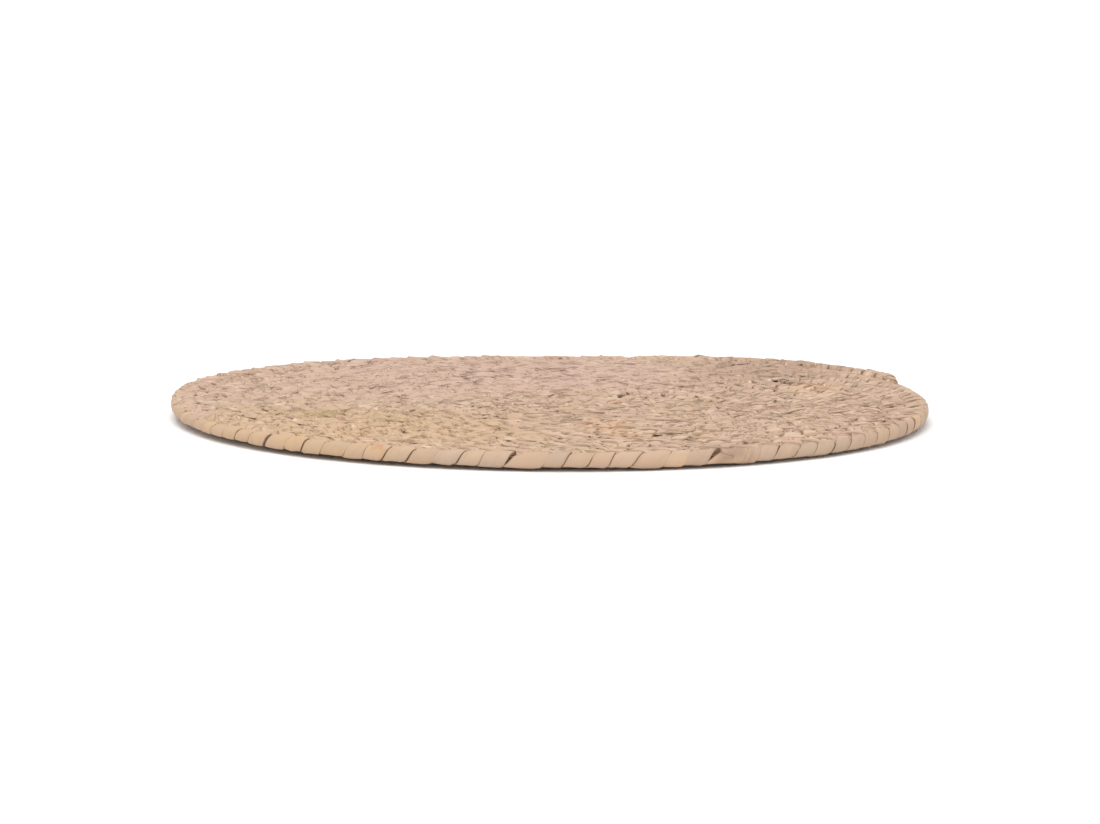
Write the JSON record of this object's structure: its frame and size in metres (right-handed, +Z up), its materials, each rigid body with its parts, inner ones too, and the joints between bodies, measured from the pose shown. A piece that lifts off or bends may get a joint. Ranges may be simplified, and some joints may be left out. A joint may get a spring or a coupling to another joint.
{
  "type": "seagrass placemat",
  "caption": "Round flat table mat of dried seagrass: one flat three-strand plait coiled from the middle outwards, with a scalloped plaited rim and a tapered tail end.",
  "frame": {"origin": "middle of the mat, at the level of the surface that it lies on", "axes": "+Z up out of the mat's face; -Y towards the picture's camera; the plait's tail end lies 15.5 degrees counterclockwise from +X"},
  "size_m": [0.3644, 0.37, 0.0115],
  "materials": {
    "dried_seagrass": "matte dried leaf, beige to straw with olive and rust patches"
  },
  "bodies": {
    "root": {"plaited_mat": "dried_seagrass"}
  },
  "joints": []
}
